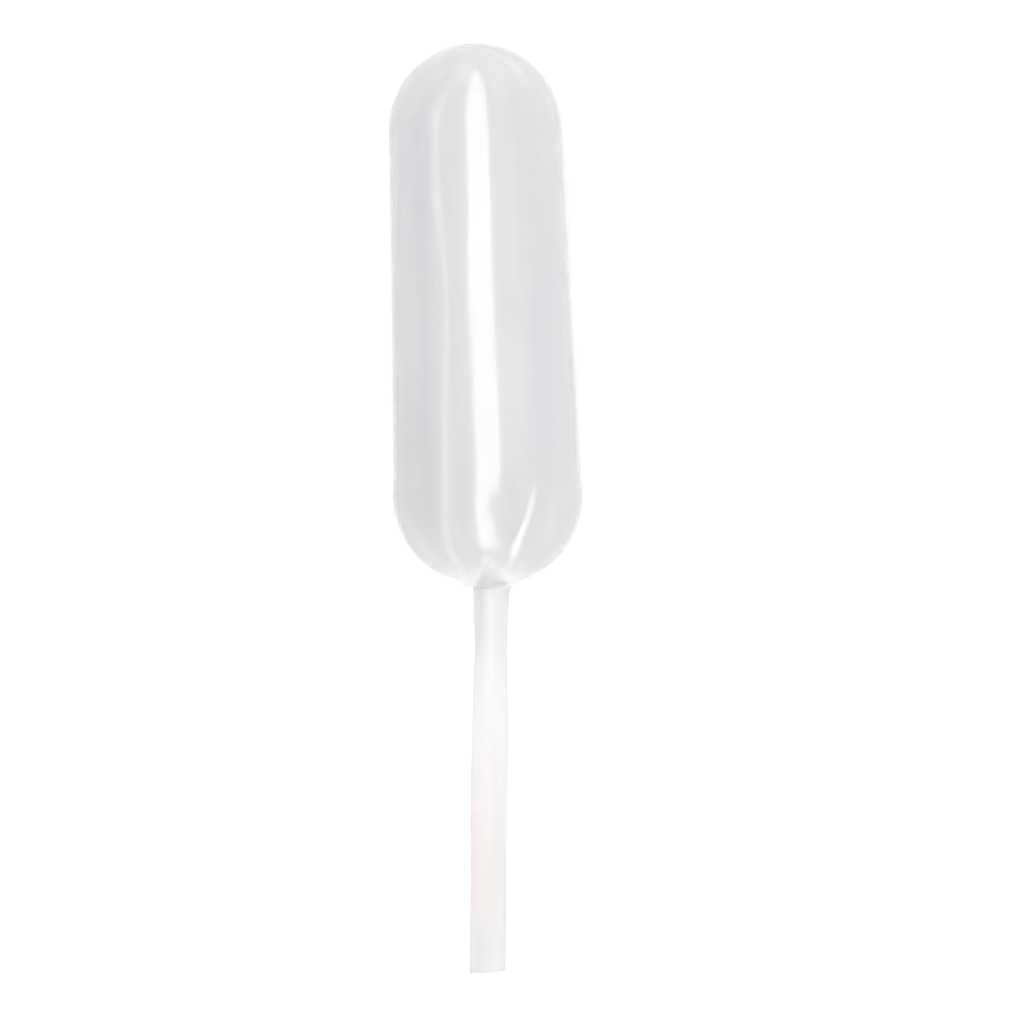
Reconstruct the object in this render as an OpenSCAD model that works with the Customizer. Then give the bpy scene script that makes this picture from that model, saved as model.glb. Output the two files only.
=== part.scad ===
// Plastic dropper pipette: a soft squeeze bulb and a plain thin stem, blow
// moulded in one piece from one tube. It is one thin wall all round, closed at
// the domed end and open only at the cut tip. It lies on its side along Y, dome
// towards +Y, on the shallow flat that its soft bulb has settled on.
// Millimetres, +Z up. The origin is on the floor, under the middle of the part.

/* [Bulb] */
// Outer radius of the domed end
dome_r = 6.07; // [5.5:0.01:6.3]
// Outer radius of the round bottom, around the stem
bottom_r = 6.67; // [6.65:0.01:7.2]
// Distance between the centres of the two round ends
bulb_span = 25.5; // [18:0.5:34]
// Outer radius that the tapered side reaches at the round bottom's centre
shoulder_r = 6.62; // [6.3:0.01:6.65]
// How far the side bows in from a straight taper, at its middle
side_bow = 0.07; // [0:0.01:0.12]
// Wall of the tapered side and the dome
bulb_wall = 0.36; // [0.25:0.01:0.45]
// Wall of the round bottom, where the parison stayed thicker
bottom_wall = 0.4; // [0.35:0.01:0.5]
// Depth of the flat spot that the soft bulb has settled on, underneath
flat_spot = 0.12; // [0.08:0.01:0.16]

/* [Neck] */
// Radius of the outer fillet between the bulb and the stem
neck_fillet = 0.55; // [0.4:0.05:0.8]
// Outer radius of the stem just under the bulb
neck_r = 1.25; // [1.2:0.01:1.35]
// Set of the stem to one side of the bulb's axis, in degrees
bend = 2.55; // [0.5:0.05:8]

/* [Stem] */
// Length of the stem below its bend, at the axis
stem_len = 26.4; // [22:0.1:60]
// Length of the plain cylinder that ends at the tip
plain_len = 17.5; // [10:0.5:18]
// Outer radius of that plain cylinder
stem_r = 1.27; // [1.2:0.01:1.4]
// Outer radius at the slightly drawn stretch below the neck
waist_r = 1.15; // [1.1:0.01:1.2]
// Radius of the lumen, the same from the neck to the tip
lumen_r = 0.85; // [0.7:0.01:0.9]
// Slant of the cut tip, in degrees
tip_slant = 5; // [1:0.5:15]

/* [Hidden] */
$fn = 96;
bulb_turn = 1.99;                                        // heading of the bulb's axis from +Y
bulb_rise = asin((bottom_r - dome_r) / bulb_span);       // the wider bottom lifts the stem end
nip = 0.03;                                              // bite of the fillets into the round bottom
ledge = 0.02;                                            // the neck is this much fuller than the stem that leaves it
inner_fillet = neck_fillet + bottom_wall;                // the lumen's rounded mouth inside the bulb
bend_z = fillet_height(bottom_r, neck_r + ledge, neck_fillet) - 0.1; // the stem takes its set just below the fillet

// Side radius at a share u of the way from the dome's centre to the bottom's
function side(u) = dome_r + (shoulder_r - dome_r) * u - 4 * side_bow * u * (1 - u);
function arc(c, r, a0, a1, n) = [for (i = [0:n]) let (a = a0 + (a1 - a0) * i / n) [c.x + r * cos(a), c.y + r * sin(a)]];
// The three turns that lay the part down, for points
function turn_x(p, a) = [p.x, p.y * cos(a) - p.z * sin(a), p.y * sin(a) + p.z * cos(a)];
function turn_y(p, a) = [p.x * cos(a) + p.z * sin(a), p.y, p.z * cos(a) - p.x * sin(a)];
function turn_z(p, a) = [p.x * cos(a) - p.y * sin(a), p.x * sin(a) + p.y * cos(a), p.z];
function laid(p) = turn_z(turn_x(p, -(90 + bulb_rise)), bulb_turn);
// Height of the centre of a fillet f between a ball b, as the bottom, and a tube r
function fillet_height(b, r, f) = -(bulb_span + sqrt(pow(b + f - nip, 2) - pow(r + f, 2)));

// The middle of the floor under the part: half way between the dome and the
// lowest point of the slanted rim, and between the widest points of the bulb
shoulder = laid([0, 0, -bulb_span]);
rim = [for (a = [0:3:357]) let (x = stem_r * cos(a), z = x * tan(tip_slant) - stem_len)
    laid(turn_y([x, stem_r * sin(a), z], bend) + [0, 0, bend_z]).y];
place_x = -(min(-dome_r, shoulder.x - bottom_r) + max(dome_r, shoulder.x + bottom_r)) / 2;
place_y = -(dome_r + min(rim)) / 2;

// The bulb on its own axis, dome centre at 0 and stem downwards, down to where
// the stem takes its set. t is how far it lies inside the outer skin, tb the
// same at the round bottom, tube_r the radius of the tube that it runs into.
module bulb_form(t, tb, tube_r, fillet) {
    x = tube_r + fillet;
    z = fillet_height(bottom_r - tb, tube_r, fillet);
    sphere(dome_r - t);
    translate([0, 0, -bulb_span]) sphere(bottom_r - tb);
    // the tapered side, bowed in a little
    rotate_extrude()
        polygon(concat([[0, 0]], [for (i = [0:12]) [side(i / 12) - t, -bulb_span * i / 12]], [[0, -bulb_span]]));
    // the neck, with its fillet up to the round bottom
    rotate_extrude()
        polygon(concat([[0, bend_z], [tube_r, bend_z]],
            arc([x, z], fillet, 180, 180 - atan2(-bulb_span - z, x), 8), [[0, -bulb_span]]));
}

// Everything below the neck, turned to the stem's own axis
module below_bend() translate([0, 0, bend_z]) rotate([0, bend, 0]) children();

// Outside of the stem: full under the neck, drawn a little thinner, then plain
module stem_skin() {
    drawn = stem_len - plain_len;
    below_bend() rotate_extrude()
        polygon([[0, 0.2], [neck_r, 0.2], [neck_r, -0.16 * drawn], [waist_r, -0.45 * drawn], [waist_r, -0.62 * drawn],
                 [stem_r, -drawn], [stem_r, -stem_len - 1], [0, -stem_len - 1]]);
}

// Lays what is modelled on the bulb's axis down on the floor, and drops what
// would be lower than z: the soft bulb has settled to a flat there
module settled(z) difference() {
    translate([place_x, place_y, dome_r - flat_spot]) rotate([0, 0, bulb_turn]) rotate([-(90 + bulb_rise), 0, 0]) children();
    translate([-50, -60, z - 5]) cube([100, 120, 5]);
}

module pipette() {
    color([0.9, 0.91, 0.93, 0.6]) difference() {
        settled(0) {
            bulb_form(0, 0, neck_r + ledge, neck_fillet);
            stem_skin();
        }
        // the hollow of the bulb and the lumen, in one, a wall above the flat spot
        settled(bulb_wall) {
            bulb_form(bulb_wall, bottom_wall, lumen_r + ledge, inner_fillet);
            below_bend() translate([0, 0, -stem_len - 2]) cylinder(r = lumen_r, h = stem_len + 2.2);
        }
        // the slanted cut at the tip
        settled(-5) below_bend() translate([0, 0, -stem_len]) rotate([0, -tip_slant, 0])
            translate([-5, -5, -5]) cube([10, 10, 5]);
    }
}
pipette();
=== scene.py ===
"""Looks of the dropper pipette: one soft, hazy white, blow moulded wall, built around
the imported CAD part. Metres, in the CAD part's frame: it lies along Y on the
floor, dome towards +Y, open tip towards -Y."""
import math

import bmesh
import bpy
import numpy as np
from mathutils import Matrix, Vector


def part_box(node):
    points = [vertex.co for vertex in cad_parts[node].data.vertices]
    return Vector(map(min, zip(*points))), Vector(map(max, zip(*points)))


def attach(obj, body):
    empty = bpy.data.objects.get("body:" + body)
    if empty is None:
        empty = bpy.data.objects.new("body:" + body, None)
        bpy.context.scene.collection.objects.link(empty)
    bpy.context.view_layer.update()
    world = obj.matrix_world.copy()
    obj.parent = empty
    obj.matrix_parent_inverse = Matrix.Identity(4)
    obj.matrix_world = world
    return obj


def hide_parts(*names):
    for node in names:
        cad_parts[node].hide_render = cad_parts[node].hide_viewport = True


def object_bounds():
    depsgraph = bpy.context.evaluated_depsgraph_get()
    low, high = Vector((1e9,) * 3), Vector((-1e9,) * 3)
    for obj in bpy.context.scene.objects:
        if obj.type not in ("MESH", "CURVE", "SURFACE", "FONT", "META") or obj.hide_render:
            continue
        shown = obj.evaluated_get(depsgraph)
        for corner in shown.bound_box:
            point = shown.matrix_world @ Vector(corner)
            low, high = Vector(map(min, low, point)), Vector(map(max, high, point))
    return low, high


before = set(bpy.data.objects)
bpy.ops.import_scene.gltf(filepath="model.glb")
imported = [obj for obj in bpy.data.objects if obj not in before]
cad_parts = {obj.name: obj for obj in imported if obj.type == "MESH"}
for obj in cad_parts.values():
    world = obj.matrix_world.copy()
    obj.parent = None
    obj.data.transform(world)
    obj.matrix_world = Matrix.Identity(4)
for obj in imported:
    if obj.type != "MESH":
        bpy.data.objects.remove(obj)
cad_lo, cad_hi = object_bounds()
lo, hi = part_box("pipette")
MM = 0.001

# ---------------------------------------------------------------- the form, in mm
# the same driving sizes as the CAD part
DOME_R, BOTTOM_R, SPAN, SHOULDER_R, BOW = 6.07, 6.67, 25.5, 6.62, 0.07
BULB_WALL, BOTTOM_WALL, FLAT = 0.36, 0.40, 0.12
NECK_R, WAIST_R, STEM_R, LUMEN_R = 1.25, 1.15, 1.27, 0.85
STEM_LEN, PLAIN_LEN, BEND, SLANT = 26.4, 17.5, 2.55, 5.0
TURN, RISE = 1.99, math.degrees(math.asin((BOTTOM_R - DOME_R) / SPAN))
DRAWN = STEM_LEN - PLAIN_LEN
BEND_Z = -32.556                     # where the stem's axis leaves the bulb's, from the dome's centre
RIM = 0.06                           # how far the rounded rim stands past the last rings

# points round each ring, as angles: closer together across the crease on the upper right
phi = np.radians(np.concatenate([np.linspace(-50, 278, 120, endpoint=False), np.linspace(278, 310, 50, endpoint=False)]))
AROUND = len(phi)
# angle from straight up, positive towards +X: the local -y side ends up on top
up_angle = (np.degrees(phi) + 90 + 180) % 360 - 180


def smooth(a, b, x):
    t = np.clip((np.asarray(x, float) - a) / (b - a), 0, 1)
    return t * t * (3 - 2 * t)


def wave(x, y, seed, scale):
    """Seeded, gentle unevenness: a few long sines, about -1 to 1. y is an angle in radians, so it closes on itself."""
    r = np.random.default_rng(seed)
    out = 0.0
    for k in range(7):
        n = r.integers(1, 5)
        f = r.uniform(0.5, 1.6) / scale
        out = out + r.uniform(0.4, 1.0) * np.sin(f * x * 2 * math.pi + r.uniform(0, 6.28)) * np.cos(n * y + r.uniform(0, 6.28))
    return out / 3.2


def bulb_profile(inner, fil):
    """(height along the bulb's axis, radius) from the apex of the dome to the top of the neck."""
    t, tb = (BULB_WALL, BOTTOM_WALL) if inner else (0.0, 0.0)
    rd, rb = DOME_R - t, BOTTOM_R - tb
    rs = SHOULDER_R - t
    tube = (LUMEN_R if inner else NECK_R) + 0.01
    pts = []
    for a in np.linspace(90, 0, 70):                              # the dome
        pts.append((rd * math.sin(math.radians(a)), rd * math.cos(math.radians(a))))
    lip = math.degrees(math.acos(min(1.0, (rs - 0.004) / rb)))    # the ball stands a little proud of the side
    for z in np.linspace(0, -SPAN + rb * math.sin(math.radians(lip)), 70)[1:]:   # the tapered side, bowed in
        u = -z / SPAN
        pts.append((z, DOME_R - t + (rs - DOME_R + t) * u - 4 * BOW * u * (1 - u)))
    zc = -(SPAN + math.sqrt((rb + fil) ** 2 - (tube + fil) ** 2))  # the round bottom, down to the fillet
    a_end = math.degrees(math.atan2(-SPAN - zc, tube + fil))
    for a in np.linspace(-lip + 0.6, a_end, 80):
        pts.append((-SPAN - rb * math.sin(math.radians(a)), rb * math.cos(math.radians(a))))
    for a in np.linspace(180 - a_end, 180, 24)[1:]:               # the fillet down into the tube
        pts.append((zc + fil * math.sin(math.radians(a)), tube + fil + fil * math.cos(math.radians(a))))
    return np.array(pts)


def resample(p, n):
    """n points evenly spaced along the wall, closer together towards the neck, all ending at the same height."""
    p = np.vstack([p, [-SPAN - 7.3, p[-1, 1]]])
    d = np.concatenate([[0], np.cumsum(np.hypot(*np.diff(p, axis=0).T))])
    u = np.linspace(0, 1, n)
    s = d[-1] * (1.25 * u - 0.25 * u ** 4) / 1.0
    return np.column_stack([np.interp(s, d, p[:, 0]), np.interp(s, d, p[:, 1])])


def stem_radius(h):
    """Outer radius at h mm below the bend: full under the neck, drawn a little thinner, then plain, with the slight swell of a drawn tube."""
    xs = [0, 0.8, 2.0, 3.6, 4.9, 6.2, 7.6, 9.4, 13.0, 16.0, 17.6, 19.5, STEM_LEN + 5]
    rs = [NECK_R, NECK_R, 1.20, 1.145, WAIST_R, 1.20, 1.235, 1.285, 1.295, 1.285, 1.245, 1.26, 1.265]
    fine = np.linspace(-2, STEM_LEN + 4, 1200)
    r = np.interp(fine, xs, rs)
    k = np.exp(-np.linspace(-2, 2, 41) ** 2)
    r = np.convolve(np.pad(r, 20, mode="edge"), k / k.sum(), "valid")
    return np.interp(h, fine, r)


def axis_at(z):
    """The centre line: along the bulb's own axis, then turned BEND degrees to one side over a short curve. z is the length along it from the dome's centre, negative towards the tip. Returns x, z and the turn in degrees."""
    fine = np.linspace(0, -70, 3501)
    turn = BEND * smooth(0.9, -0.9, fine - BEND_Z)
    x = np.concatenate([[0], np.cumsum(-np.sin(np.radians(turn[1:])) * 0.02)])
    y = np.concatenate([[0], np.cumsum(-np.cos(np.radians(turn[1:])) * 0.02)])
    z = np.asarray(z, float)
    up = z > 0
    return (np.where(up, 0.0, np.interp(-z, -fine, x)), np.where(up, z, np.interp(-z, -fine, y)),
            np.where(up, 0.0, np.interp(-z, -fine, turn)))


def twist(a, a0, w):
    """An S-shaped bump across the angle a0: it only turns the wall, and dies out on both sides. Its slope at a0 is 1 mm a radian."""
    u = (a - a0) / w
    return np.radians(w) * u * np.exp(-u * u)


def mound(a, a0, wa, s, s0, ws):
    return np.exp(-((a - a0) / wa) ** 2 - ((s - s0) / ws) ** 2)


def unevenness(z, a):
    """How far the soft wall stands proud of its true form, in mm: the shallow waves and the dent that blow moulding left."""
    s = -z
    left = np.interp(s, [-4, 0, 3, 5.2, 7.6, 10, 13.5, 17, 20, 23, 26, 29, 31],
                     [0.0, -0.22, -0.42, -0.46, -0.04, 0.28, 0.26, 0.10, -0.06, -0.14, -0.12, 0.0, 0.0])
    strip = np.interp(s, [0, 3, 5.2, 7.6, 9.5], [-25, -31, -32, -29, -25])
    right = np.interp(s, [0, 6, 12, 18, 21, 23, 26], [0.0, 0.08, 0.0, 0.05, 0.12, 0.1, 0.0])
    d = left * twist(a, strip, 15) + right * twist(a, 14, 10)
    # the shallow dent in the round bottom, on the upper right
    d = d - 0.10 * mound(a, 17, 11, s, 27.2, 2.6) * smooth(22.6, 24.6, s)
    # and the crease that closes it off on its right, running down to the neck
    at = [25.2, 26.0, 27.3, 28.1, 28.5, 28.9, 29.3, 29.75, 30.15, 31.0]
    crease = np.interp(s, at, [29.1, 27.4, 25.2, 23.3, 21.8, 20.4, 19.8, 19.6, 18.9, 18.8])
    width = np.interp(s, at, [2.2, 2.2, 2.4, 3.0, 3.6, 4.4, 5.6, 5.6, 4.8, 4.5])
    slope = np.interp(s, [24.9] + at, [0.0, 1.4, 3.2, 3.2, 3.0, 2.8, 2.6, 2.4, 2.2, 1.5, 0.6])
    d = d + slope * twist(a, crease, width)
    d = d + 0.018 * wave(s, np.radians(a), 3, 16) + 0.006 * wave(s, np.radians(a), 8, 5)
    return d * smooth(-5.9, -4.5, s) * (1 - smooth(30.0, 31.6, s))


def soften_lip(zr):
    """The step where the side meets the round bottom is crisp only on the upper right, and melts away elsewhere."""
    z, r = zr[..., 0], zr[..., 1]
    fine = np.linspace(-SPAN + 5.5, -SPAN - 4.5, 401)
    k = np.exp(-(np.linspace(-2.2, 2.2, 89) / 0.9) ** 2)
    k /= k.sum()
    out = zr.copy()
    crisp = smooth(-2, 6, up_angle) * (1 - smooth(34, 48, up_angle))
    for j in range(AROUND):
        flat = np.interp(-fine, -z[:, j], r[:, j])
        soft = np.convolve(np.pad(flat, 44, mode="reflect", reflect_type="odd"), k, "valid")
        gap = np.interp(-z[:, j], -fine, soft - flat) * smooth(-SPAN + 5.0, -SPAN + 3.6, z[:, j]) * smooth(-SPAN - 4.0, -SPAN - 2.4, z[:, j])
        out[:, j, 1] = r[:, j] + gap * (1 - crisp[j])
    return out


def skin(inner):
    """Points of one skin: an apex, then rings of AROUND points, in the bulb's own frame in mm."""
    n_bulb, n_stem = (150, 70) if inner else (210, 110)
    if inner:
        p = resample(bulb_profile(True, 0.95), n_bulb)
        zr = np.repeat(p[:, None, :], AROUND, axis=1)
    else:
        # the fillet is tight on the left of the neck, and flares on the right
        tight, wide = resample(bulb_profile(False, 0.22), n_bulb), resample(bulb_profile(False, 0.78), n_bulb)
        w = (0.5 + 0.5 * np.cos(phi))[None, :, None]
        zr = tight[:, None, :] * (1 - w) + wide[:, None, :] * w
    zr = soften_lip(zr)
    apex_z = zr[0, 0, 0]
    zr = zr[1:]
    z0, end = zr[-1, 0, 0], BEND_Z - STEM_LEN + RIM
    zs = z0 + (end - z0) * np.linspace(0, 1, n_stem + 1)[1:]
    if inner:
        rs = LUMEN_R + (zr[-1, 0, 1] - LUMEN_R) * np.exp(-(z0 - zs) / 0.8)
    else:
        rs = stem_radius(BEND_Z - zs) + (zr[-1, 0, 1] - stem_radius(BEND_Z - z0)) * np.exp(-(z0 - zs) / 0.5)
    stem = np.repeat(np.column_stack([zs, rs])[:, None, :], AROUND, axis=1)
    zr = np.vstack([zr, stem])
    z, r = zr[..., 0], zr[..., 1]
    P = np.broadcast_to(phi[None, :], z.shape)
    A = np.broadcast_to(up_angle[None, :], z.shape)
    R = r + unevenness(z, A)
    R = R + 0.007 * wave(z, P, 21, 7) * smooth(-33.5, -35.5, z) * (0.5 if inner else 1.0)
    x0, zc, turn = axis_at(z)
    c, s = np.cos(np.radians(turn)), np.sin(np.radians(turn))
    px, py = R * np.cos(P), R * np.sin(P)
    # the slanted cut: the last rings lean over to its plane
    lean = px * math.tan(math.radians(SLANT)) * smooth(BEND_Z - STEM_LEN + 3.0, BEND_Z - STEM_LEN, z)
    pts = np.stack([x0 + px * c + lean * s, py, zc - px * s + lean * c], axis=-1)
    return pts, np.array([[0.0, 0.0, apex_z]])


def laid(p):
    """From the bulb's own frame to how it lies: the axis down on its side, then its heading."""
    a, b = math.radians(-(90 + RISE)), math.radians(TURN)
    x, y, z = p[..., 0], p[..., 1], p[..., 2]
    y, z = y * math.cos(a) - z * math.sin(a), y * math.sin(a) + z * math.cos(a)
    x, y = x * math.cos(b) - y * math.sin(b), x * math.sin(b) + y * math.cos(b)
    return np.stack([x, y, z], axis=-1)


outer, outer_top = skin(False)
inner, inner_top = skin(True)
n_out, n_in = len(outer), len(inner)

# the rim, rounded a little on both edges where it was cut
o, i = outer[-1], inner[-1]
down = o.mean(0) - outer[-2].mean(0)
down /= np.linalg.norm(down)
rim = np.array([o * (1 - u) + i * u + down * d * RIM
                for u, d in ((0.07, 0.55), (0.2, 0.85), (0.5, 1.0), (0.8, 0.85), (0.93, 0.55))])

O, I, M = laid(outer), laid(inner), laid(rim)
TO, TI = laid(outer_top), laid(inner_top)
# it goes where the CAD part is: the dome's reach along +Y, the middle across, and the floor
shift = np.array([
    (lo[0] + hi[0]) / 2 / MM - (O[..., 0].min() + O[..., 0].max()) / 2,
    hi[1] / MM - O[..., 1].max(),
    lo[2] / MM + DOME_R - FLAT,
])
O, I, M, TO, TI = (a + shift for a in (O, I, M, TO, TI))


def settle(p, level):
    """The soft bulb's flat underneath: nothing goes lower than level, with a soft edge."""
    k = 0.012
    h = (p[..., 2] - level) / k
    p = p.copy()
    p[..., 2] = level + k * np.where(h > 30, h, np.log1p(np.exp(np.minimum(h, 30))))
    return p


O, I = settle(O, lo[2] / MM), settle(I, lo[2] / MM + BULB_WALL)

verts = np.vstack([TO, O.reshape(-1, 3), TI, I.reshape(-1, 3), M.reshape(-1, 3)]) * MM
o0, i_top = 1, 1 + n_out * AROUND
i0 = i_top + 1
m0 = i0 + n_in * AROUND
k = np.arange(AROUND)
k1 = (k + 1) % AROUND


def band(a, b, flip):
    q = np.column_stack([a + k, a + k1, b + k1, b + k])
    return q[:, ::-1] if flip else q


faces = [band(o0 + r * AROUND, o0 + (r + 1) * AROUND, True) for r in range(n_out - 1)]
faces += [band(i0 + r * AROUND, i0 + (r + 1) * AROUND, False) for r in range(n_in - 1)]
seq = [o0 + (n_out - 1) * AROUND] + [m0 + j * AROUND for j in range(len(M))] + [i0 + (n_in - 1) * AROUND]
faces += [band(a, b, True) for a, b in zip(seq[:-1], seq[1:])]
quads = np.vstack(faces).tolist()
tris = [[0, o0 + a, o0 + b] for a, b in zip(k, k1)] + [[i_top, i0 + b, i0 + a] for a, b in zip(k, k1)]

mesh = bpy.data.meshes.new("pipette_wall")
mesh.from_pydata(verts.tolist(), [], quads + tris)
mesh.validate()
bm = bmesh.new()
bm.from_mesh(mesh)
bmesh.ops.recalc_face_normals(bm, faces=bm.faces)
bm.to_mesh(mesh)
bm.free()
mesh.shade_smooth()
body = bpy.data.objects.new("pipette_wall", mesh)
bpy.context.scene.collection.objects.link(body)


# ---------------------------------------------------------------- the plastic
def natural_ldpe():
    mat = bpy.data.materials.new("natural_ldpe")
    mat.use_nodes = True
    nt = mat.node_tree
    nt.nodes.clear()
    N, L = nt.nodes.new, nt.links.new

    def noise(scale, detail):
        m = N("ShaderNodeMapping")
        m.inputs["Scale"].default_value = scale
        L(co.outputs["Object"], m.inputs["Vector"])
        n = N("ShaderNodeTexNoise")
        n.inputs["Scale"].default_value = 1.0
        n.inputs["Detail"].default_value = detail
        L(m.outputs[0], n.inputs["Vector"])
        return n.outputs["Fac"]

    def spread(value, a, b, c, d):
        r = N("ShaderNodeMapRange")
        for name, v in (("From Min", a), ("From Max", b), ("To Min", c), ("To Max", d)):
            r.inputs[name].default_value = v
        L(value, r.inputs["Value"])
        return r.outputs[0]

    def ramp(value, stops):
        r = N("ShaderNodeValToRGB")
        e = r.color_ramp.elements
        while len(e) < len(stops):
            e.new(0.5)
        for el, (pos, colour) in zip(e, stops):
            el.position, el.color = pos, (*colour, 1)
        L(value, r.inputs["Fac"])
        return r.outputs[0]

    def mixed(kind, fac, a, b):
        m = N("ShaderNodeMix")
        m.data_type, m.blend_type = "RGBA", kind
        m.inputs[0].default_value = fac
        L(a, m.inputs[6])
        L(b, m.inputs[7])
        return m.outputs[2]

    out = N("ShaderNodeOutputMaterial")
    p = N("ShaderNodeBsdfPrincipled")
    p.inputs["IOR"].default_value = 1.51
    p.inputs["Transmission Weight"].default_value = 0.65
    co = N("ShaderNodeTexCoord")
    xyz = N("ShaderNodeSeparateXYZ")
    L(co.outputs["Object"], xyz.inputs[0])

    def maths(kind, *args):
        m = N("ShaderNodeMath")
        m.operation = kind
        for i, v in enumerate(args):
            if isinstance(v, float):
                m.inputs[i].default_value = v
            else:
                L(v, m.inputs[i])
        return m.outputs[0]

    def blended(y0, y1, a, b):
        """Colour a up to y0, then over to b at y1."""
        m = N("ShaderNodeMix")
        m.data_type = "RGBA"
        L(spread(xyz.outputs["Y"], y0, y1, 0, 1), m.inputs[0])
        L(a, m.inputs[6])
        L(b, m.inputs[7])
        return m.outputs[2]

    def grey(v):
        return (v, v, v)

    # colour: clear grey bulb, whiter stem, cloudy patches and lengthwise draw lines. The tone along the length, greyer
    # at the neck and the tip and whiter and a little pink down the stem, is partly the plastic's own and partly painted
    # light and shade
    along = spread(xyz.outputs["Y"], 0.030, -0.033, 0, 1)
    tone_and_shade = ramp(along, [(0.0, (0.926, 0.926, 0.930)), (0.40, (0.924, 0.924, 0.928)), (0.54, (0.907, 0.907, 0.912)),
                        (0.565, grey(1.0)), (0.588, grey(0.98)), (0.61, grey(0.975)), (0.645, grey(1.0)),
                        (0.72, (1.0, 0.998, 0.998)), (0.80, (1.0, 0.992, 0.992)), (0.86, (0.984, 0.97, 0.968)), (0.92, (0.967, 0.959, 0.957)),
                        (0.98, (0.932, 0.93, 0.932)), (1.0, (0.922, 0.92, 0.922))])
    cloudy = ramp(noise((330, 90, 330), 3), [(0.3, (0.965, 0.97, 0.98)), (0.7, (1, 0.998, 0.996))])
    drawn = ramp(noise((1100, 22, 1100), 4), [(0.35, (0.985, 0.985, 0.985)), (0.65, (1, 1, 1))])
    ragged = maths("MULTIPLY", maths("SUBTRACT", noise((500, 420, 500), 3), 0.5), 0.0004)

    # painted shade and light across the bulb: darker and a little mauve on the left, lighter towards the middle, bluish
    # on the right
    wander = maths("MULTIPLY", maths("SUBTRACT", noise((60, 110, 60), 2), 0.5), 0.0010)
    off_bulb = maths("ADD", maths("ADD", xyz.outputs["X"], maths("MULTIPLY", xyz.outputs["Y"], 0.034746)), wander)
    bulb_painted_shade = ramp(spread(off_bulb, 0.000177 - 0.0066, 0.000177 + 0.0066, 0, 1), [
        (0.0, (0.985, 0.98, 0.985)), (0.076, (0.966, 0.959, 0.971)), (0.227, (0.964, 0.957, 0.97)), (0.28, (0.996, 0.988, 0.986)),
        (0.333, (0.996, 0.988, 0.986)), (0.36, (0.978, 0.972, 0.974)), (0.43, (0.998, 0.992, 0.992)), (0.52, (1, 0.994, 0.99)), (0.576, (1, 0.994, 0.988)),
        (0.65, (0.995, 0.99, 0.985)), (0.73, (0.977, 0.982, 0.988)), (0.85, (0.979, 0.984, 0.989)), (0.91, (1, 1, 1)), (1.0, (1, 1, 1))])

    # painted shade and light across the stem: under the neck a darker band on the left with lighter bands beside it,
    # lower down a darker middle with its left side a little pink
    off_stem = maths("SUBTRACT", xyz.outputs["X"], maths("MULTIPLY", xyz.outputs["Y"], 0.009787))
    over_stem = spread(off_stem, 0.000447 - 0.0013, 0.000447 + 0.0013, 0, 1)
    neck_painted_bands = ramp(over_stem, [(0.0, grey(1.0)), (0.07, grey(0.985)), (0.14, (0.948, 0.943, 0.951)), (0.25, (0.93, 0.925, 0.938)), (0.31, grey(0.94)),
                                   (0.39, grey(0.955)), (0.46, grey(0.96)), (0.54, grey(0.94)), (0.64, grey(0.95)), (0.72, grey(0.975)),
                                   (0.80, grey(0.98)), (0.88, grey(0.985)), (1.0, grey(1.0))])
    waist_painted_shade = ramp(over_stem, [(0.0, (1.0, 0.985, 0.98)), (0.18, (1.0, 0.975, 0.97)), (0.32, (0.957, 0.936, 0.93)), (0.48, (0.91, 0.907, 0.907)), (0.64, grey(0.908)), (0.80, grey(0.975)), (1.0, grey(1.0))])
    stem_painted_shade = ramp(over_stem, [
        (0.0, (1.0, 0.98, 0.975)), (0.14, (1.0, 0.972, 0.967)), (0.24, (0.98, 0.947, 0.941)), (0.34, (0.935, 0.906, 0.9)), (0.5, (0.88, 0.87, 0.866)),
        (0.66, (0.887, 0.88, 0.878)), (0.82, (0.965, 0.956, 0.956)), (1.0, (1.0, 0.998, 0.998))])
    tip_painted_shade = ramp(over_stem, [(0.0, grey(1.0)), (0.15, grey(0.995)), (0.25, grey(0.915)), (0.42, grey(0.877)), (0.56, grey(0.862)), (0.66, grey(0.898)),
                                  (0.74, grey(0.975)), (0.85, grey(0.96)), (1.0, grey(1.0))])
    # the painted shade and light across the bulb and down the stem, blended along the length
    across = blended(-0.0050, -0.0056, bulb_painted_shade, blended(-0.0084, -0.0104, neck_painted_bands, blended(-0.0150, -0.0205, waist_painted_shade,
                      blended(-0.0280, -0.0312, stem_painted_shade, tip_painted_shade))))

    def streak(path, y0, y1, x0, x1, core, edge):
        """A painted highlight: a lighter line of reflected light on the round bottom. path holds (place from y0 to y1,
        place from x0 to x1, strength).
        """
        at = spread(xyz.outputs["Y"], y0, y1, 0, 1)
        where = ramp(at, [(p, grey(x)) for p, x, w in path])
        strength = ramp(at, [(p, grey(w)) for p, x, w in path])
        d = maths("ABSOLUTE", maths("SUBTRACT", maths("ADD", xyz.outputs["X"], ragged), spread(where, 0, 1, x0, x1)))
        return maths("MULTIPLY", spread(d, core, edge, 1, 0), strength)

    def spot(x, y, core, edge, flat=1.0):
        dx, dy = maths("SUBTRACT", xyz.outputs["X"], x), maths("MULTIPLY", maths("SUBTRACT", xyz.outputs["Y"], y), flat)
        d = maths("SQRT", maths("ADD", maths("MULTIPLY", dx, dx), maths("MULTIPLY", dy, dy)))
        return spread(maths("ADD", d, ragged), core, edge, 1, 0)

    # painted highlights: lighter lines of reflected light, by the crease on the lower right, on the lower left and over
    # the dome
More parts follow.
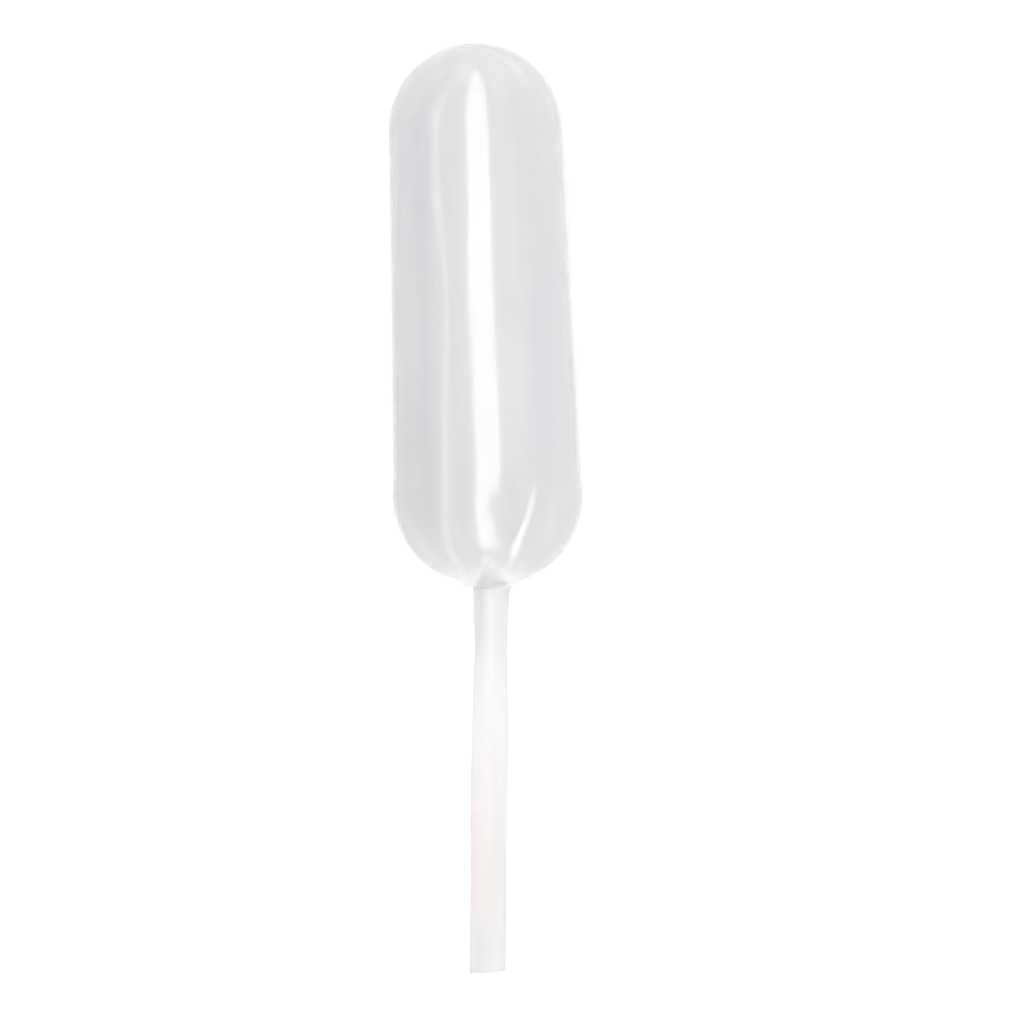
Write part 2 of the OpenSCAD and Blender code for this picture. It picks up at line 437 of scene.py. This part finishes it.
    right_line = streak([(0.0, 0.333, 0.0), (0.10, 0.39, 0.3), (0.226, 0.46, 0.8), (0.35, 0.53, 1.0), (0.474, 0.617, 0.8),
                         (0.597, 0.705, 0.75), (0.72, 0.757, 0.65), (0.85, 0.81, 0.6), (1.0, 0.85, 0.0)],
                        -0.0052, 0.0016, 0.0, 0.004, 0.00012, 0.00034)
    right_faint = streak([(0.0, 0.76, 0.0), (0.3, 0.79, 0.3), (0.6, 0.83, 0.35), (0.85, 0.86, 0.3), (1.0, 0.88, 0.0)],
                         -0.0040, 0.0018, 0.0, 0.0055, 0.00015, 0.00045)
    left_line = streak([(0.0, 0.58, 0.0), (0.1, 0.53, 0.6), (0.22, 0.37, 0.6), (0.36, 0.20, 0.6), (0.5, 0.14, 0.6), (0.75, 0.107, 0.4),
                        (1.0, 0.107, 0.0)], -0.0055, 0.0016, -0.0031, 0.0, 0.00015, 0.00042)
    left_outer = streak([(0.0, 0.83, 0.0), (0.2, 0.67, 0.45), (0.45, 0.38, 0.5), (0.7, 0.22, 0.4), (1.0, 0.10, 0.0)],
                        -0.0052, -0.0002, -0.0060, -0.0010, 0.0002, 0.0006)
    dome_line = streak([(0.0, 0.92, 0.0), (0.2, 0.83, 0.45), (0.36, 0.77, 0.9), (0.56, 0.66, 1.0), (0.72, 0.51, 0.7), (0.88, 0.35, 0.5),
                        (1.0, 0.2, 0.0)], 0.0290, 0.0320, -0.0010, 0.0035, 0.00015, 0.00065)
    # painted glints: a bright broken ring and bright specks at the neck
    ring = maths("SUBTRACT", spot(0.00033, -0.0056, 0.00155, 0.00185), spot(0.00033, -0.0056, 0.0010, 0.00125))
    above = spread(xyz.outputs["Y"], -0.0053, -0.0048, 0, 1)
    specks = maths("MAXIMUM", spot(0.00002, -0.0036, 0.0001, 0.0005), maths("MAXIMUM", spot(0.00125, -0.0043, 0.0001, 0.0005), spot(0.00045, -0.0040, 0.0001, 0.0005)))
    lumpy = spread(noise((1500, 1500, 1500), 2), 0.42, 0.58, 0.2, 0.8)
    glints = maths("MAXIMUM", maths("MULTIPLY", maths("MULTIPLY", ring, lumpy), above), specks)
    # painted highlights on the dome: the soft top end of the highlight and a lighter spot, then a painted lighter patch
    # right of the highlight lower down
    dome = maths("MAXIMUM", dome_line, maths("MULTIPLY", spot(-0.00145, 0.0301, 0.0002, 0.0011), 0.55))
    dome = maths("MAXIMUM", dome, maths("MULTIPLY", spot(0.0011, 0.0303, 0.0005, 0.0022), 0.4))
    painted_light_patch = maths("MULTIPLY", spot(0.0021, 0.0080, 0.0004, 0.0018, 0.26), 0.3)
    dome = maths("MAXIMUM", dome, painted_light_patch)
    # all the painted highlights and glints together, kept to the upper half of the part
    painted_highlights = maths("MAXIMUM", maths("MAXIMUM", maths("MAXIMUM", right_line, right_faint), maths("MAXIMUM", maths("MAXIMUM", left_line, left_outer), glints)), dome)
    painted_highlights = maths("MULTIPLY", painted_highlights, spread(xyz.outputs["Z"], 0.0060, 0.0072, 0, 1))
    # painted shade: a dark spot at the mouth of the neck
    neck_painted_dark = ramp(spot(-0.00005, -0.00475, 0.00015, 0.0004), [(0.0, grey(1.0)), (1.0, grey(0.95))])
    # painted shade: a darker patch in the dent right of the highlight
    dent_painted_shade = ramp(maths("MULTIPLY", spot(0.00165, -0.0004, 0.0006, 0.0010, 0.32), 1.0), [(0.0, grey(1.0)), (1.0, grey(0.967))])

    # painted shade: darker on the left of the bulb, towards the neck
    left_painted_shade = ramp(spot(-0.0050, 0.0032, 0.0006, 0.0024, 0.35), [(0.0, grey(1.0)), (1.0, grey(0.968))])

    base = tone_and_shade
    for layer in (across, cloudy, drawn, neck_painted_dark, dent_painted_shade, left_painted_shade):
        base = mixed("MULTIPLY", 1.0, base, layer)
    # the painted highlights mix the colour towards white
    clear = N("ShaderNodeMix")
    clear.data_type = "RGBA"
    L(maths("MULTIPLY", painted_highlights, 0.9), clear.inputs[0])
    L(base, clear.inputs[6])
    clear.inputs[7].default_value = (1.0, 1.0, 1.0, 1)
    L(clear.outputs[2], p.inputs["Base Color"])

    # gloss: the bulb is shiny with duller streaks; the drawn stem is dull from the neck on, and duller below
    streaks = noise((900, 50, 900), 4)

    def blend(y0, y1, a, b):
        m = N("ShaderNodeMix")
        m.data_type = "FLOAT"
        L(spread(xyz.outputs["Y"], y0, y1, 0, 1), m.inputs[0])
        L(a, m.inputs[2])
        L(b, m.inputs[3])
        return m.outputs[0]

    gloss = spread(streaks, 0.3, 0.7, 0.10, 0.17)
    even = spread(streaks, 0.3, 0.7, 0.138, 0.142)
    dull = spread(streaks, 0.3, 0.7, 0.318, 0.322)
    matt = spread(streaks, 0.3, 0.7, 0.48, 0.56)
    skin = blend(-0.0034, -0.0044, gloss, blend(-0.00515, -0.00555, even, blend(-0.0075, -0.0110, dull, matt)))
    L(skin, p.inputs["Roughness"])

    # fine lengthwise texture of the skin
    bump = N("ShaderNodeBump")
    bump.inputs["Strength"].default_value = 0.2
    bump.inputs["Distance"].default_value = 0.00001
    L(streaks, bump.inputs["Height"])
    L(bump.outputs[0], p.inputs["Normal"])

    L(p.outputs[0], out.inputs["Surface"])
    return mat


body.data.materials.append(natural_ldpe())
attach(body, "root")
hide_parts("pipette")

# ---------------------------------------------------------------- floor, light and camera
scene = bpy.context.scene
scene.view_settings.view_transform = "Standard"
scene.view_settings.look = "None"


RING, STEM_BAND = 0.06, 0.36         # extra glow of the floor beside the bulb and under the stem


def white_floor():
    """A big pale floor. It glows a little beside the bulb, where that shades it, and far off, where the lamps no longer reach."""
    me = bpy.data.meshes.new("floor")
    me.from_pydata([(x, y, cad_lo[2]) for x, y in ((-6, -6), (6, -6), (6, 6), (-6, 6))], [], [(0, 1, 2, 3)])
    floor = bpy.data.objects.new("floor", me)
    scene.collection.objects.link(floor)
    mat = bpy.data.materials.new("floor")
    mat.use_nodes = True
    nt = mat.node_tree
    b = nt.nodes["Principled BSDF"]
    b.inputs["Base Color"].default_value = (0.42, 0.42, 0.42, 1)
    b.inputs["Roughness"].default_value = 0.9
    b.inputs["Specular IOR Level"].default_value = 0.0
    b.inputs["Emission Color"].default_value = (1, 1, 1, 1)
    co = nt.nodes.new("ShaderNodeTexCoord")
    far = nt.nodes.new("ShaderNodeVectorMath")
    far.operation = "LENGTH"
    nt.links.new(co.outputs["Object"], far.inputs[0])

    def step(value, a, b_, c, d):
        m = nt.nodes.new("ShaderNodeMapRange")
        m.interpolation_type = "SMOOTHSTEP"
        for name, v in (("From Min", a), ("From Max", b_), ("To Min", c), ("To Max", d)):
            m.inputs[name].default_value = v
        nt.links.new(value, m.inputs["Value"])
        return m.outputs[0]

    def maths(kind, *args):
        m = nt.nodes.new("ShaderNodeMath")
        m.operation = kind
        for i, v in enumerate(args):
            if isinstance(v, float):
                m.inputs[i].default_value = v
            else:
                nt.links.new(v, m.inputs[i])
        return m.outputs[0]

    xyz = nt.nodes.new("ShaderNodeSeparateXYZ")
    nt.links.new(co.outputs["Object"], xyz.inputs[0])

    def beside(middle, reach):
        """Distance from a line on the floor along Y, reach metres to each side of middle."""
        past = maths("MAXIMUM", maths("SUBTRACT", maths("ABSOLUTE", maths("SUBTRACT", xyz.outputs["Y"], middle)), reach), 0.0)
        flat = nt.nodes.new("ShaderNodeCombineXYZ")
        nt.links.new(xyz.outputs["X"], flat.inputs[0])
        nt.links.new(past, flat.inputs[1])
        d = nt.nodes.new("ShaderNodeVectorMath")
        d.operation = "LENGTH"
        nt.links.new(flat.outputs[0], d.inputs[0])
        return d.outputs["Value"]

    bulb = beside(0.0137, 0.0128)
    ring = maths("MULTIPLY", step(bulb, 0.0045, 0.0070, 0.0, 1.0), step(bulb, 0.0075, 0.0160, RING, 0.0))
    band = step(beside(-0.0210, 0.0120), 0.0030, 0.0100, STEM_BAND, 0.0)
    glow = maths("ADD", maths("ADD", ring, band), step(far.outputs["Value"], 0.25, 1.5, 0.48, 1.0))
    nt.links.new(glow, b.inputs["Emission Strength"])
    me.materials.append(mat)


white_floor()


def studio_world():
    """White at the horizon, darker just above it, pale overhead."""
    world = bpy.data.worlds.new("studio")
    scene.world = world
    world.use_nodes = True
    nt = world.node_tree
    co = nt.nodes.new("ShaderNodeTexCoord")
    xyz = nt.nodes.new("ShaderNodeSeparateXYZ")
    nt.links.new(co.outputs["Generated"], xyz.inputs[0])
    ramp = nt.nodes.new("ShaderNodeValToRGB")
    e = ramp.color_ramp.elements
    e[0].position, e[0].color = 0.0, (1.0, 1.0, 1.0, 1)
    e[1].position, e[1].color = 0.22, (0.65, 0.65, 0.652, 1)
    for at, v in ((0.045, 1.0), (0.08, 0.42), (0.15, 0.33)):
        mid = e.new(at)
        mid.color = (v, v, v, 1)
    nt.links.new(xyz.outputs["Z"], ramp.inputs["Fac"])
    bg = nt.nodes["Background"]
    nt.links.new(ramp.outputs[0], bg.inputs["Color"])
    bg.inputs["Strength"].default_value = 1.0


studio_world()


def strip(name, a0, a1, y0, y1, radiance, colour=(1, 1, 1), far=0.6):
    """A soft strip light parallel to Y, far metres from the part. It covers the angles a0 to a1 degrees from straight up (positive towards +X), from y0 to y1 in metres."""
    a, half = math.radians((a0 + a1) / 2), math.radians(abs(a1 - a0) / 2)
    data = bpy.data.lights.new(name, "AREA")
    data.shape = "RECTANGLE"
    data.size, data.size_y = 2 * far * math.tan(half), y1 - y0
    data.energy = radiance * data.size * data.size_y * math.pi
    data.color = colour
    ob = bpy.data.objects.new(name, data)
    scene.collection.objects.link(ob)
    ob.location = (far * math.sin(a), (y0 + y1) / 2, far * math.cos(a))
    ob.rotation_euler = (0, a, 0)
    ob.visible_camera = False
    return ob


# all round and parallel to the part: a long window overhead, and softer panels to the left and right.
# "up" ones reach from over its middle away past the dome, "dn" ones away past the tip
for name, a0, a1, y0, y1, radiance in (
        ("over_up", -14, 4.5, 0.03, 4.5, 3.65),
        ("over_wide_up", 4.5, 16, 0.03, 4.5, 3.65),
        ("over_dn_a", -15, 3, -0.35, 0.03, 3.4),
        ("over_dn_b", -15, 13, -0.80, -0.35, 3.4),
        ("over_dn_c", -18, 24, -1.15, -0.80, 3.4),
        ("over_dn_d", -21, 35, -1.50, -1.15, 3.4),
        ("over_dn_e", -14, 16, -3.0, -1.50, 0.5),
        ("edge_left_up", -54, -46, 0.03, 4.5, 1.35),
        ("edge_left_dn", -54, -46, -3.0, 0.03, 0.7),
        ("low_left_dn", -90, -62, -3.0, -0.4, 0.35),
        ("near_right_dn", 16, 32, -3.0, 0.03, 0.45),
        ("mid_right", 32, 50, -3.0, 4.5, 0.2),
        ("edge_right_dn", 52, 59, -3.0, 0.03, 2.0),
        ("low_right_dn", 70, 90, -3.0, 0.03, 0.45),
        ("low_right_up", 70, 90, 0.03, 4.5, 0.22)):
    strip(name, a0, a1, y0, y1, radiance)

cam = bpy.data.cameras.new("camera")
cam.type = "PERSP"
cam.lens = 200
cam.sensor_width = 36
camera = bpy.data.objects.new("camera", cam)
scene.collection.objects.link(camera)
scene.camera = camera
# straight above, with 70.7 mm of view at the height of the part's axis
camera.location = (0.00135, 0.00019, 0.0065 + 0.0707 / 2 / (18 / 200))
camera.rotation_euler = (0, 0, 0)
cam.clip_start, cam.clip_end = 0.01, 50

scene.cycles.max_bounces = 24
scene.cycles.transmission_bounces = 20
scene.cycles.glossy_bounces = 12
scene.cycles.transparent_max_bounces = 24
scene.cycles.caustics_refractive = True
scene.cycles.caustics_reflective = True
